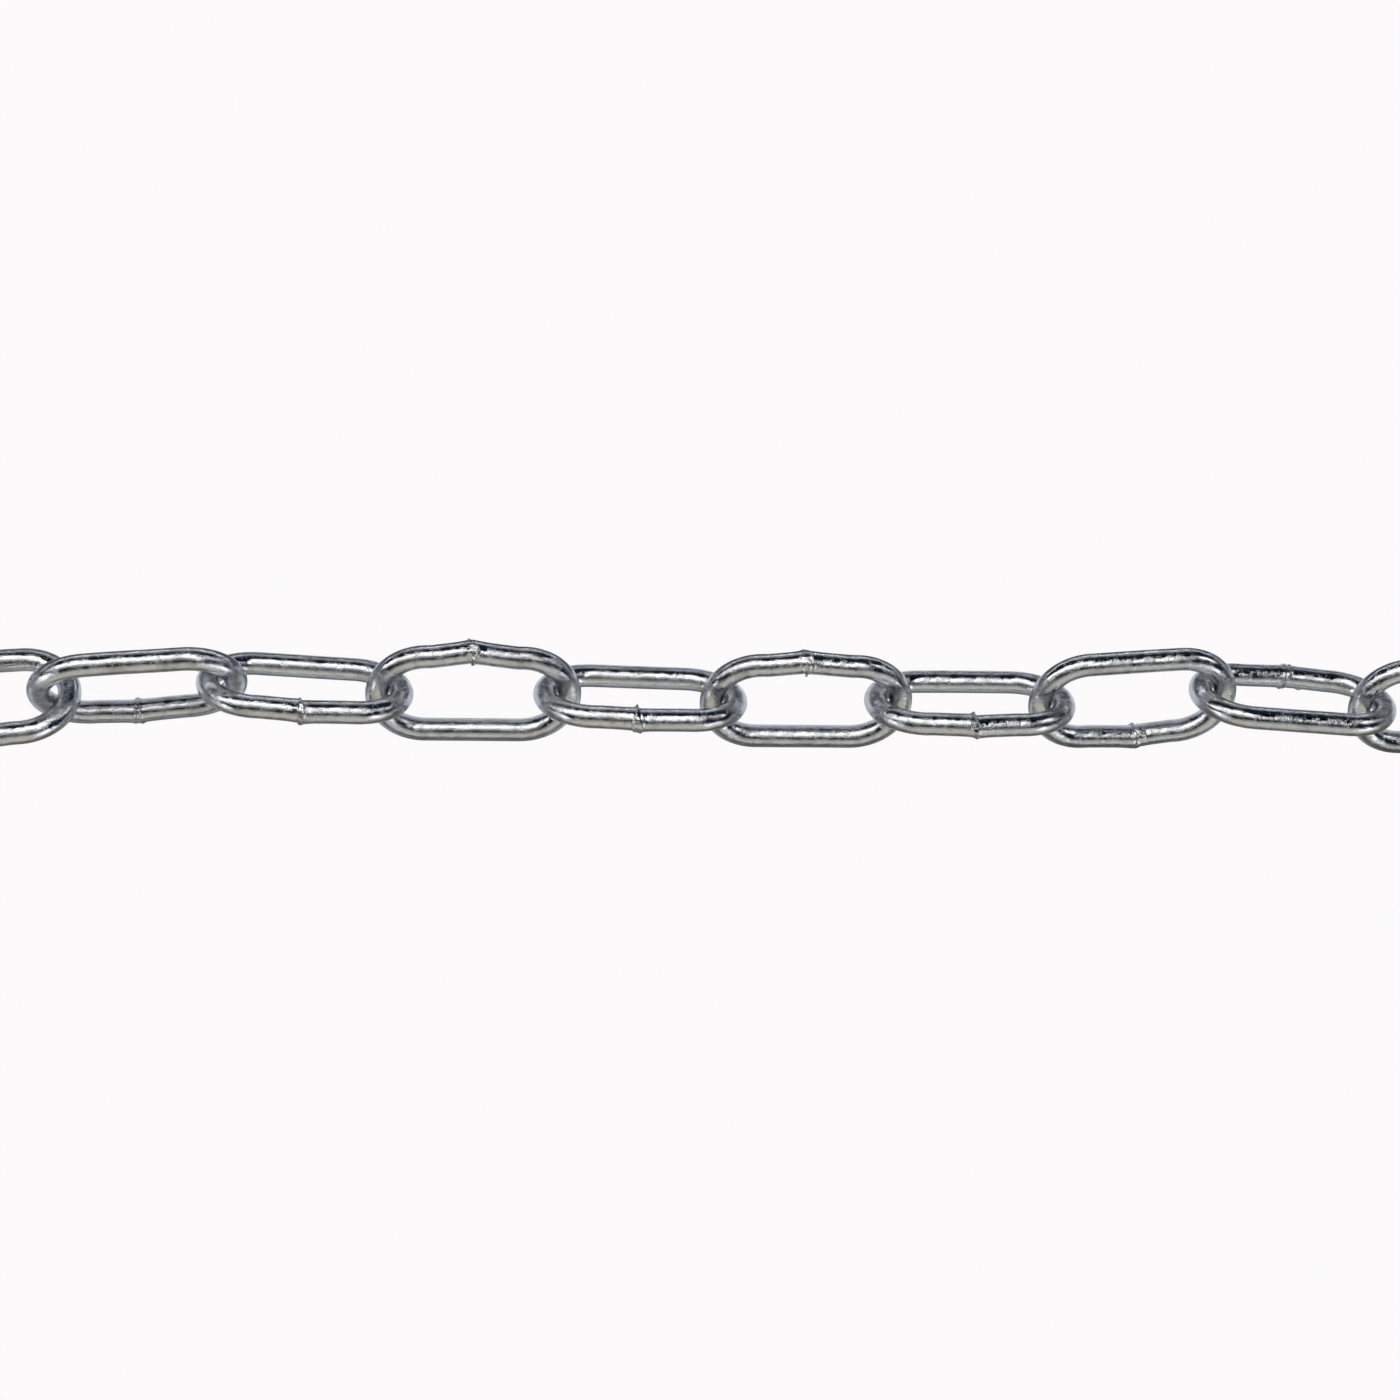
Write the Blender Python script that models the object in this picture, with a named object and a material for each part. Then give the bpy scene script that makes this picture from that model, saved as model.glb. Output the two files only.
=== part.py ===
"""Half a metre of welded straight-link steel chain, lying stretched out on a level floor.

Metres, +Z up. The chain runs along +X. Every link is one closed loop of round wire, bent and
butt-welded at the middle of one leg, so each is an object of its own. A link leans on its edge
between its two neighbours, and the next one leans the other way. Each link hangs from an empty
that sits in the end of the link before it, on the line that it swings about.
"""

import math

import bpy
import numpy as np
from mathutils import Matrix, Vector

MM = 0.001

# Driving dimensions of one link
WIRE_DIAMETER = 4.0 * MM
INSIDE_LENGTH = 29.0 * MM
INSIDE_WIDTH = 12.0 * MM
CROWN_DEPTH = 8.4 * MM
WELD_BULGE = 0.8 * MM
BEAD_SWELL = 1.16
BEAD_HALF_WIDTH = 0.8 * MM
BEAD_CREST_HALF_WIDTH = 0.3 * MM

# The wire of one link stays this far from the wire of the next
LINK_GAP = 0.3 * MM

# How the links in the middle lie: heading over the floor and lean off the floor in degrees,
# and the leg that holds the weld, +1 for the one on the far side (+Y) and -1 for the near one
SHOWN_LAY = (
    (3.0, -27.0, -1),
    (3.5, 73.0, -1),
    (-3.0, -50.0, -1),
    (-0.5, 52.0, 1),
    (-2.0, -51.0, -1),
    (-0.5, 53.0, 1),
    (-0.5, -50.0, -1),
    (3.5, 51.0, -1),
    (-4.0, -49.0, 1),
    (-1.0, 50.0, 1),
)
PLAIN_LEAN = 48.0
LINKS_BEFORE_SHOWN = 4
LINK_COUNT = 17

# Mesh fineness
CROWN_STEPS = 11
WIRE_BEVEL_RESOLUTION = 4
GAP_SAMPLE = 0.4 * MM
ADVANCE_STEPS = 30

ZINC_COLOUR = (0.62, 0.63, 0.65, 1.0)
ZINC_ROUGHNESS = 0.22

# Sizes worked out from the ones above
WIRE_RADIUS = WIRE_DIAMETER / 2
WIRE_SIDES = 4 + 2 * WIRE_BEVEL_RESOLUTION
EYE_TO_EYE = INSIDE_LENGTH + WIRE_DIAMETER
LEG_OFFSET = (INSIDE_WIDTH + WIRE_DIAMETER) / 2
LEG_HALF_LENGTH = EYE_TO_EYE / 2 - CROWN_DEPTH
# A polygon of this corner radius has the area of the round wire
CORNER_RADIUS = WIRE_RADIUS * math.sqrt(
    2 * math.pi / (WIRE_SIDES * math.sin(2 * math.pi / WIRE_SIDES))
)


def clear_scene():
    """Removes every object that the scene starts with."""
    for obj in list(bpy.data.objects):
        bpy.data.objects.remove(obj, do_unlink=True)


def zinc_plate():
    """The bright plating of the wire."""
    material = bpy.data.materials.new("zinc_plated_steel")
    material.use_nodes = True
    shader = material.node_tree.nodes["Principled BSDF"]
    shader.inputs["Base Color"].default_value = ZINC_COLOUR
    shader.inputs["Metallic"].default_value = 1.0
    shader.inputs["Roughness"].default_value = ZINC_ROUGHNESS
    return material


def lay_of_links():
    """Heading, lean and weld side of every link: the shown ones, and a plain lay before and after."""
    lay = []
    for index in range(LINK_COUNT):
        shown = index - LINKS_BEFORE_SHOWN
        if 0 <= shown < len(SHOWN_LAY):
            lay.append(SHOWN_LAY[shown])
        else:
            side = 1 if shown % 2 else -1
            lay.append((0.0, side * PLAIN_LEAN, side))
    return lay


def crown(direction):
    """Centreline of one bent end, as (along, across, swell), anticlockwise; direction is +1 or -1.

    An odd number of steps puts a straight one at the very end, and that one has the full depth.
    """
    points = []
    depth = CROWN_DEPTH / math.cos(math.pi / (2 * CROWN_STEPS))
    for step in range(CROWN_STEPS + 1):
        turn = math.pi * step / CROWN_STEPS - math.pi / 2
        along = direction * (LEG_HALF_LENGTH + depth * math.cos(turn))
        points.append((along, direction * LEG_OFFSET * math.sin(turn), 1.0))
    return points


def weld_bead(side):
    """Centreline through the upset weld at the middle of a leg, which it pushes outwards."""
    points = []
    for along, swell in (
        (BEAD_HALF_WIDTH, 1.0),
        (BEAD_CREST_HALF_WIDTH, BEAD_SWELL),
        (-BEAD_CREST_HALF_WIDTH, BEAD_SWELL),
        (-BEAD_HALF_WIDTH, 1.0),
    ):
        bulge = WELD_BULGE * (1 - abs(along) / LEG_HALF_LENGTH)
        points.append((side * along, side * (LEG_OFFSET + bulge), swell))
    return points


def link_loop(weld_side):
    """Centreline of a whole link round its middle, starting at its right-hand end."""
    far_leg = weld_bead(1) if weld_side > 0 else []
    near_leg = weld_bead(-1) if weld_side < 0 else []
    return crown(1) + far_leg + crown(-1) + near_leg


def wire_samples(loop):
    """Closely spaced points on a link's centreline, with the wire's radius at each."""
    points = np.array([(along, across, 0.0, swell) for along, across, swell in loop])
    following = np.roll(points, -1, axis=0)
    samples = []
    for start, end in zip(points, following):
        pieces = max(1, math.ceil(np.linalg.norm(end[:3] - start[:3]) / GAP_SAMPLE))
        for piece in range(pieces):
            samples.append(start + (end - start) * piece / pieces)
    samples = np.array(samples)
    return samples[:, :3], samples[:, 3] * WIRE_RADIUS


def link_turn(heading, lean, rise):
    """Rotation of a link: lean about its length, then nose up by rise, then heading. In radians."""
    return (
        Matrix.Rotation(heading, 3, "Z")
        @ Matrix.Rotation(-rise, 3, "Y")
        @ Matrix.Rotation(lean, 3, "X")
    )


def resting_height(turn, points, radii):
    """How high a link's middle is when its lowest wire touches the floor."""
    heights = points @ np.array(turn).T
    return -(heights[:, 2] - radii).min()


def wire_gap(points_a, radii_a, points_b, radii_b):
    """Smallest distance between two wires' surfaces, and the sample of the first where it is."""
    apart = np.linalg.norm(points_a[:, None] - points_b[None], axis=2)
    apart = apart - radii_a[:, None] - radii_b[None]
    nearest = np.unravel_index(apart.argmin(), apart.shape)
    return apart[nearest], nearest[0]


class Link:
    """One link of the chain: its outline, and where it lies."""

    def __init__(self, number, heading, lean, weld_side):
        self.name = f"link_{number:02d}"
        self.heading = math.radians(heading)
        self.lean = math.radians(lean)
        self.loop = link_loop(weld_side)
        self.points, self.radii = wire_samples(self.loop)
        self.turn = link_turn(self.heading, self.lean, 0.0)
        self.level_height = resting_height(self.turn, self.points, self.radii)
        self.middle = np.zeros(3)

    def rest_between(self, height_before, height_after):
        """Tips the link to its neighbours' heights, and sets it on the floor if it would sink in."""
        rise = math.asin((height_after - height_before) / EYE_TO_EYE)
        self.turn = link_turn(self.heading, self.lean, rise)
        floor_height = resting_height(self.turn, self.points, self.radii)
        self.middle[2] = max(floor_height, (height_before + height_after) / 2)

    def direction(self):
        """Unit vector along the link's length, over the floor."""
        return np.array([math.cos(self.heading), math.sin(self.heading), 0.0])

    def placed(self):
        """The wire's sample points where the link lies."""
        return self.points @ np.array(self.turn).T + self.middle

    def matrix(self):
        """The link's place as a 4 x 4 matrix."""
        return Matrix.Translation(Vector(self.middle)) @ self.turn.to_4x4()


def set_heights(links):
    """Gives two links that meet the same height where they meet, halfway between their own."""
    levels = [link.level_height for link in links]
    meeting = [(a + b) / 2 for a, b in zip(levels, levels[1:])]
    meeting = [levels[0], *meeting, levels[-1]]
    for link, before, after in zip(links, meeting, meeting[1:]):
        link.rest_between(before, after)


def advance_link(previous, link):
    """Pulls a link away from the one before it until their wires are LINK_GAP apart."""
    step = (previous.direction() + link.direction()) / 2
    low, high = INSIDE_LENGTH - WIRE_DIAMETER, INSIDE_LENGTH + WIRE_DIAMETER
    for _ in range(ADVANCE_STEPS):
        advance = (low + high) / 2
        link.middle[:2] = (previous.middle + step * advance)[:2]
        gap, _ = wire_gap(previous.placed(), previous.radii, link.placed(), link.radii)
        low, high = (advance, high) if gap > LINK_GAP else (low, advance)


def swing_matrix(previous, link):
    """Frame of the line that link swings about: the wire of the link before, where the two meet.

    Its Y axis runs along that wire.
    """
    placed = previous.placed()
    _, nearest = wire_gap(placed, previous.radii, link.placed(), link.radii)
    wire = Vector(placed[(nearest + 1) % len(placed)] - placed[nearest - 1]).normalized()
    along = (previous.turn @ Vector((1, 0, 0))).normalized()
    normal = along.cross(wire).normalized()
    turn = Matrix((wire.cross(normal), wire, normal)).transposed()
    return Matrix.Translation(Vector(placed[nearest])) @ turn.to_4x4()


def floor_facet_tilt(lean):
    """Turn of the wire's polygon that lays one of its flats on the floor, under the lower leg."""
    flat = 2 * math.pi / WIRE_SIDES
    return (flat / 2 - abs(lean)) % flat


def link_object(link, material):
    """A link as a closed curve with a round bevel, in its own axes."""
    curve = bpy.data.curves.new(link.name, "CURVE")
    curve.dimensions = "3D"
    curve.twist_mode = "Z_UP"
    curve.bevel_depth = CORNER_RADIUS
    curve.bevel_resolution = WIRE_BEVEL_RESOLUTION
    curve.use_fill_caps = True
    spline = curve.splines.new("POLY")
    spline.points.add(len(link.loop) - 1)
    tilt = floor_facet_tilt(link.lean)
    for point, (along, across, swell) in zip(spline.points, link.loop):
        point.co = (along, across, 0.0, 1.0)
        point.radius = swell
        point.tilt = tilt
    spline.use_cyclic_u = True
    spline.use_smooth = True
    curve.materials.append(material)
    return bpy.data.objects.new(link.name, curve)


def attach(child, parent, parent_world, world):
    """Parents child and places it at world, given where its parent is."""
    child.parent = parent
    child.matrix_parent_inverse = parent_world.inverted()
    child.matrix_basis = world


def build_links(links, collection, material):
    """Makes the links, each under the empty that it swings on, and returns the chain's own empty."""
    chain = bpy.data.objects.new("chain", None)
    collection.objects.link(chain)
    holder, holder_world = chain, Matrix.Identity(4)
    for previous, link in zip([None, *links], links):
        if previous:
            swing = bpy.data.objects.new(link.name.replace("link", "swing"), None)
            swing.empty_display_size = WIRE_DIAMETER
            collection.objects.link(swing)
            swing_world = swing_matrix(previous, link)
            attach(swing, holder, holder_world, swing_world)
            holder, holder_world = swing, swing_world
        obj = link_object(link, material)
        collection.objects.link(obj)
        attach(obj, holder, holder_world, link.matrix())
    return chain


def centre_on_floor(chain, collection):
    """Moves the chain so that the middle of its box is over the origin and it stands on Z = 0."""
    bpy.context.view_layer.update()
    graph = bpy.context.evaluated_depsgraph_get()
    low, high = Vector((math.inf,) * 3), Vector((-math.inf,) * 3)
    for obj in collection.objects:
        if obj.type != "CURVE":
            continue
        evaluated = obj.evaluated_get(graph)
        for vertex in evaluated.to_mesh().vertices:
            place = evaluated.matrix_world @ vertex.co
            low = Vector(map(min, low, place))
            high = Vector(map(max, high, place))
        evaluated.to_mesh_clear()
    chain.location = (-(low.x + high.x) / 2, -(low.y + high.y) / 2, -low.z)


def main():
    clear_scene()
    collection = bpy.data.collections.new("steel_chain")
    bpy.context.scene.collection.children.link(collection)
    links = [Link(i + 1, *lay) for i, lay in enumerate(lay_of_links())]
    set_heights(links)
    for previous, link in zip(links, links[1:]):
        advance_link(previous, link)
    chain = build_links(links, collection, zinc_plate())
    centre_on_floor(chain, collection)


main()
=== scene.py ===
"""A straight length of welded steel chain with a bright zinc plating, in a white studio."""

import math
from collections import namedtuple

import bmesh
import bpy
import numpy as np
from bpy.props import FloatProperty, FloatVectorProperty, IntProperty, PointerProperty
from bpy.types import Operator, Panel, PropertyGroup
from mathutils import Euler, Matrix, Vector, noise


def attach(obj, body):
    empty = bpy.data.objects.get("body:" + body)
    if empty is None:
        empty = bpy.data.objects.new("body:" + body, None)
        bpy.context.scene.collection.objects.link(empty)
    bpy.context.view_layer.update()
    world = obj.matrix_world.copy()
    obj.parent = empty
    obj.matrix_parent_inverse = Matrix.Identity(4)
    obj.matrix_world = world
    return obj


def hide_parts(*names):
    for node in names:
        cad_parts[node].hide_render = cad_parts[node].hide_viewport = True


bl_info = {
    "name": "Welded Steel Chain",
    "version": (1, 0, 0),
    "blender": (4, 5, 0),
    "location": "View3D > Sidebar > Chain",
    "description": "Welded links of plated wire, pulled out in a row in a white studio",
    "category": "Object",
}

MM = 0.001

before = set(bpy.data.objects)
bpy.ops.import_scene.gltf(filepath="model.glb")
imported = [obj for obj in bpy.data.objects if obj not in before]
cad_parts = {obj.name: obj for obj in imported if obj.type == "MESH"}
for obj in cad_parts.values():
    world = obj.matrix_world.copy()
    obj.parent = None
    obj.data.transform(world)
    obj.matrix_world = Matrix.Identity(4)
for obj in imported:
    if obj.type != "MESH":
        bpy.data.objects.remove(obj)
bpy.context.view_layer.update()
LINK_NAMES = sorted(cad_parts)
NOISE_SEED = 7

# Place in the row of the first link in the picture, from 0: it has the first of the welds below,
# and the links outside the picture repeat them
FIRST_SHOWN = 4

# Each link's own seed, from its place in the row, and how far a seed moves each pattern
SEED_STEP, SEED_START = 1.37, 0.5
FLASH_SHIFT, STRAY_SHIFT, DRAW_SHIFT = 9, 7, 0.037

# The kinked leg: how it bends towards the weld, how soon it leaves the bent end, and how far from
# the weld its rings stay close together and then draw apart
KINK_POWER, KINK_EASE = 1.3, 4
CLOSE_RINGS = 2.2 * MM
RING_GROWTH = 1.2

# The weld, in mm: a swelling under the flash, ridges of uneven height, and rough metal over them
SWELLING, SWELLING_SIZE = 0.08, 1.6
UNEVEN, UNEVEN_SCALE = 0.7, 1.3
ROUGH_SCALE, FINE_SCALE, FINE_SHARE = 2.6, 5.5, 0.4
ROUGH_WIRE, ROUGH_FLASH, ROUGH_MOST = 0.02, 0.25, 0.3
ROUGH_SIZE = 1.7

# The step between the two wire ends fades along the leg and turns over within a short way, in mm
STEP_FADE, STEP_TURN = 3.5, 0.2

# From how much lift of the surface, in mm, the flash looks like weld, and over how much more
WELD_FROM, WELD_RISE = 0.06, 0.2

# Scale of the noise behind the strays of the bent wire, per metre
STRAY_SCALE = 90

# Farther than this from a link's middle, as a share of its length, its two ends bend round
CROWN_SHARE = 0.35

# Plating: from and to which height of a pattern a look comes up, and how strong it gets
STAIN_HEIGHTS, STAIN_MOST = (0.52, 0.72), 0.75
DULL_HEIGHTS, ROUGHNESS = (0.35, 0.7), (0.05, 0.10)
PATCH_HEIGHTS, PATCH_PEEL = (0.35, 0.65), (0.4, 1.5)
WELD_ROUGHNESS, WELD_PEEL = 0.05, 0.3
PIT_RADIUS, PIT_SHARE = 0.34, 0.45
DRAW_STRETCH = (0.06, 1.0, 1.0)

# The floor: its size and place, and the Y where each of its bands comes up and is full
# The bands are painted light and shade for the chain to mirror: painted shade on both sides of the
# chain, a painted warm glow further off on the near side
FLOOR_HALF = 3.0
FLOOR_DROP = 0.03 * MM
SHADE_BAND = (10 * MM, 18 * MM)
PALE_BAND = (75 * MM, 125 * MM)
NEAR_SHADE_BAND = (-6 * MM, -14 * MM)
GLOW_BAND = (-32 * MM, -60 * MM)

# The room, by direction: from and to which X, Y or Z each part of it comes up
RIGHT_SIDE = (-0.1, 0.3)
HORIZON = (0.20, 0.0)
FAR_WALL = (0.85, 1.0)
NEAR_WALL = (-0.55, -0.98)

# Two windows: the way to each, and how well a direction has to agree with it
WINDOWS = ((0.655, -0.735, 0.17), (-0.845, -0.525, 0.10))
WINDOW_EDGE = (0.945, 0.975)

# The softboxes: their height and tilt, and how they brighten from the near side to the far side,
# as shares of their depth, up to a sharp far edge
SOFTBOX_HEIGHT = 0.6
SOFTBOX_TILT = math.radians(-16)
SOFTBOX_FAINT, SOFTBOX_FAINT_RISE = 0.12, (0.0, 0.10)
SOFTBOX_RISE = (0.27, 0.85)
SOFTBOX_EDGE = (0.90, 1.0)

# The low light on the floor
SKIM_SIZE = (2.0, 0.4)
SKIM_PLACE = (0.0, 1.0, 0.62)

# The camera: what it looks at, from how far, and its azimuth, elevation and roll
CAMERA_TARGET = (9.47 * MM, 0.19 * MM, 8.0 * MM)
CAMERA_DISTANCE = 0.587
CAMERA_ANGLES = (-25.46, 76.24, 24.91)
CAMERA_SENSOR = 36.0
CAMERA_CLIP = (0.01, 20.0)

# A softbox: its first and last X and Y before it is turned to face the far side, the shares of its
# width where it comes up and fades away, and where along its width it starts and stops to curve
# to the near side, and how far
Softbox = namedtuple("Softbox", "name width depth rise fall swing")
SOFTBOXES = (
    Softbox(
        "softbox",
        width=(-2.0, 0.40),
        depth=(-0.55, 0.166),
        rise=(0.0, 0.12),
        fall=(0.9375, 0.962),
        swing=(0.854, 0.958, 0.45),
    ),
    Softbox(
        "side_softbox",
        width=(0.42, 1.2),
        depth=(-0.25, 0.14),
        rise=(0.0, 0.06),
        fall=(0.8, 1.0),
        swing=(0.0, 1.0, 0.0),
    ),
)

# One place along the centreline of a link: distance along the wire from the weld, the centre,
# and the heading of the wire in the link's own plane
Station = namedtuple("Station", "along centre heading")

# A ridge of flash: half width and height in mm, and the corners of its line as mm along the leg
# and degrees round the wire, from straight up towards the far side
Ridge = namedtuple("Ridge", "width height line")

# A lump of flash: its place, as a corner of a ridge's line, and its size and height in mm
Lump = namedtuple("Lump", "along turn size height")

# A weld, in mm: where it sits from the middle of the leg, how far the leg is kinked outwards
# there, the step between the two wire ends, and the flash on it
Weld = namedtuple("Weld", "offset kink step ridges lumps")

PLAIN_COLLAR = (
    Ridge(0.24, 0.19, ((-0.5, -180), (-0.45, -60), (-0.3, 60), (-0.5, 180))),
    Ridge(0.22, 0.16, ((0.4, -180), (0.5, -60), (0.35, 60), (0.4, 180))),
)
WELDS = (
    Weld(0.0, 0.70, 0.06, PLAIN_COLLAR, (Lump(0.1, -70, 0.50, 0.15), Lump(-0.3, 90, 0.50, 0.22))),
    Weld(
        -0.6,
        0.70,
        0.04,
        (
            Ridge(0.24, 0.21, ((-0.6, -180), (-0.6, -60), (-0.55, 60), (-0.5, 180))),
            Ridge(0.22, 0.20, ((0.2, -180), (0.55, -60), (0.6, 20), (0.4, 90), (0.2, 180))),
        ),
        (
            Lump(-0.2, 78, 0.50, 0.34),
            Lump(0.45, -100, 0.45, 0.26),
            Lump(0.0, -10, 0.50, 0.09),
        ),
    ),
    Weld(
        -0.65,
        0.80,
        0.14,
        (
            Ridge(
                0.22,
                0.26,
                (
                    (-0.4, 180),
                    (-0.4, 110),
                    (-0.25, 50),
                    (0.25, 14),
                    (0.3, -21),
                    (0.1, -75),
                    (-0.4, -180),
                ),
            ),
            Ridge(0.16, 0.09, ((-0.35, -10), (-0.1, -60))),
        ),
        (Lump(-0.65, 0, 0.70, 0.19), Lump(-0.2, 55, 0.31, 0.22), Lump(0.1, -98, 0.42, 0.22)),
    ),
    Weld(
        -0.3,
        1.20,
        0.12,
        (
            Ridge(
                0.20,
                0.25,
                (
                    (-0.5, 180),
                    (-0.5, 90),
                    (-0.4, 43),
                    (0.43, 6),
                    (0.5, -22),
                    (0.07, -57),
                    (0.0, -180),
                ),
            ),
        ),
        (Lump(-0.45, -12, 0.60, 0.21), Lump(0.0, -93, 0.36, 0.41)),
    ),
    Weld(
        -0.9,
        0.50,
        0.10,
        (
            Ridge(
                0.18,
                0.20,
                (
                    (-0.3, 180),
                    (-0.36, 60),
                    (0.48, 17),
                    (0.7, -9),
                    (0.65, -45),
                    (0.5, -95),
                    (0.0, -180),
                ),
            ),
            Ridge(0.18, 0.17, ((-0.2, 20), (-0.55, -5), (-0.75, -50), (-0.6, -95))),
        ),
        (
            Lump(-0.25, 74, 0.39, 0.52),
            Lump(0.0, -10, 0.50, 0.15),
            Lump(-0.3, -98, 0.50, 0.30),
            Lump(0.35, -98, 0.45, 0.29),
        ),
    ),
    Weld(
        -0.75,
        0.85,
        0.06,
        (
            Ridge(
                0.17,
                0.16,
                ((-0.3, 150), (-0.24, 41), (0.6, 10), (1.1, -22), (0.7, -62), (0.0, -103)),
            ),
            Ridge(0.17, 0.16, ((-0.24, 41), (-0.83, 2), (-1.07, -26), (-0.6, -68), (0.0, -103))),
            Ridge(0.24, 0.14, ((0.0, -103), (0.1, -180), (-0.3, -210))),
        ),
        (Lump(0.0, -27, 0.85, 0.21), Lump(0.0, -99, 0.34, 0.45), Lump(-0.35, 70, 0.50, 0.22)),
    ),
    Weld(
        -0.4,
        0.70,
        0.16,
        (
            Ridge(0.18, 0.21, ((-0.7, 16), (0.7, -3), (-0.5, -26), (-0.7, 16))),
            Ridge(0.20, 0.20, ((-0.5, -26), (-0.1, -40), (0.35, -60), (0.25, -103), (0.0, -180))),
            Ridge(0.15, 0.12, ((-0.45, -35), (-0.3, -70), (-0.2, -103))),
            Ridge(0.20, 0.15, ((-0.7, 16), (-0.4, 60), (-0.3, 120), (0.0, 180))),
        ),
        (Lump(-0.2, -3, 0.50, 0.22), Lump(-0.36, 77, 0.33, 0.38)),
    ),
    Weld(
        1.0,
        0.75,
        0.12,
        (
            Ridge(0.20, 0.24, ((-0.3, 180), (-0.43, 52), (0.48, 16), (1.67, -4))),
            Ridge(0.20, 0.21, ((-0.12, 12), (0.0, -23), (0.48, -59), (0.24, -78), (0.0, -180))),
            Ridge(0.15, 0.15, ((0.48, 4), (0.95, -13), (0.6, -27), (1.07, -31), (1.8, -23))),
        ),
        (Lump(-0.4, 75, 0.47, 0.52), Lump(0.3, -100, 0.50, 0.19)),
    ),
    Weld(
        0.15,
        0.70,
        0.05,
        (
            Ridge(
                0.24,
                0.26,
                (
                    (-0.6, -180),
                    (-0.85, -90),
                    (-0.75, -61),
                    (-0.36, -7),
                    (-0.15, 50),
                    (-0.1, 90),
                    (-0.6, 180),
                ),
            ),
            Ridge(
                0.22,
                0.21,
                (
                    (0.1, -180),
                    (-0.05, -90),
                    (0.07, -61),
                    (0.6, -14),
                    (1.05, 22),
                    (0.8, 57),
                    (0.1, 180),
                ),
            ),
            Ridge(0.15, 0.12, ((-0.2, -70), (0.2, -20), (0.5, 20))),
        ),
        (Lump(-0.1, 80, 0.50, 0.19), Lump(-0.6, -100, 0.45, 0.22), Lump(2.85, -98, 0.42, 0.26)),
    ),
    Weld(0.3, 0.65, 0.08, PLAIN_COLLAR, (Lump(0.3, 20, 0.50, 0.15), Lump(-0.2, -80, 0.39, 0.26))),
)


class ChainLinkSizes(PropertyGroup):
    """Sizes of one link and of the mesh that shows it."""

    wire_diameter: FloatProperty(
        name="Wire Diameter",
        description="Thickness of the round wire",
        default=3.97 * MM,
        unit="LENGTH",
        precision=5,
    )
    inside_length: FloatProperty(
        name="Inside Length",
        description="Length of a link's eye",
        default=29.0 * MM,
        unit="LENGTH",
        precision=5,
    )
    inside_width: FloatProperty(
        name="Inside Width",
        description="Width of a link's eye",
        default=12.0 * MM,
        unit="LENGTH",
        precision=5,
    )
    crown_depth: FloatProperty(
        name="Crown Depth",
        description="How far the bent end reaches past the straight legs, to the wire's middle",
        default=8.4 * MM,
        unit="LENGTH",
        precision=5,
    )
    wander: FloatProperty(
        name="Wander",
        description="How far the bent wire strays from its ideal line",
        default=0.06 * MM,
        unit="LENGTH",
        precision=5,
    )
    step_length: FloatProperty(
        name="Step Length",
        description="Distance between two rings of the mesh along the wire",
        default=0.42 * MM,
        unit="LENGTH",
        precision=5,
    )
    weld_step: FloatProperty(
        name="Weld Step Length",
        description="Distance between two rings of the mesh at the weld",
        default=0.10 * MM,
        unit="LENGTH",
        precision=5,
    )
    sides: IntProperty(
        name="Sides",
        description="Number of faces round the wire",
        default=64,
        min=12,
        max=96,
    )


class ChainFinish(PropertyGroup):
    """Colours and texture of the plating."""

    bright_colour: FloatVectorProperty(
        name="Bright Plating",
        description="Colour of the clean plating",
        subtype="COLOR",
        default=(0.60, 0.61, 0.63),
    )
    dull_colour: FloatVectorProperty(
        name="Dull Plating",
        description="Colour where the plating is thin, stained or dull",
        subtype="COLOR",
        default=(0.40, 0.395, 0.38),
    )
    weld_colour: FloatVectorProperty(
        name="Weld Flash",
        description="Colour of the plating over the rough weld",
        subtype="COLOR",
        default=(0.52, 0.52, 0.52),
    )
    wave_size: FloatProperty(
        name="Wave Size",
        description="Size of the long waves in the plating",
        default=4.5 * MM,
        unit="LENGTH",
        precision=5,
    )
    wave_depth: FloatProperty(
        name="Wave Depth",
        description="Depth of the long waves",
        default=0.05 * MM,
        unit="LENGTH",
        precision=6,
    )
    patch_size: FloatProperty(
        name="Patch Size",
        description="Size of the patches with more or less ripple",
        default=1.6 * MM,
        unit="LENGTH",
        precision=5,
    )
    draw_size: FloatProperty(
        name="Draw Line Size",
        description="Distance between the lines that drawing left along the wire",
        default=0.22 * MM,
        unit="LENGTH",
        precision=5,
    )
    draw_depth: FloatProperty(
        name="Draw Line Depth",
        description="Depth of the lines along the wire",
        default=0.0022 * MM,
        unit="LENGTH",
        precision=6,
    )
    peel_size: FloatProperty(
        name="Peel Size",
        description="Size of the fine ripples in the plating",
        default=0.22 * MM,
        unit="LENGTH",
        precision=5,
    )
    peel_depth: FloatProperty(
        name="Peel Depth",
        description="Depth of the fine ripples",
        default=0.045 * MM,
        unit="LENGTH",
        precision=6,
    )
    pit_size: FloatProperty(
        name="Pit Spacing",
        description="Distance between the pits in the plating",
        default=0.4 * MM,
        unit="LENGTH",
        precision=5,
    )
    pit_depth: FloatProperty(
        name="Pit Depth",
        description="Depth of the pits",
        default=0.03 * MM,
        unit="LENGTH",
        precision=6,
    )


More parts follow.
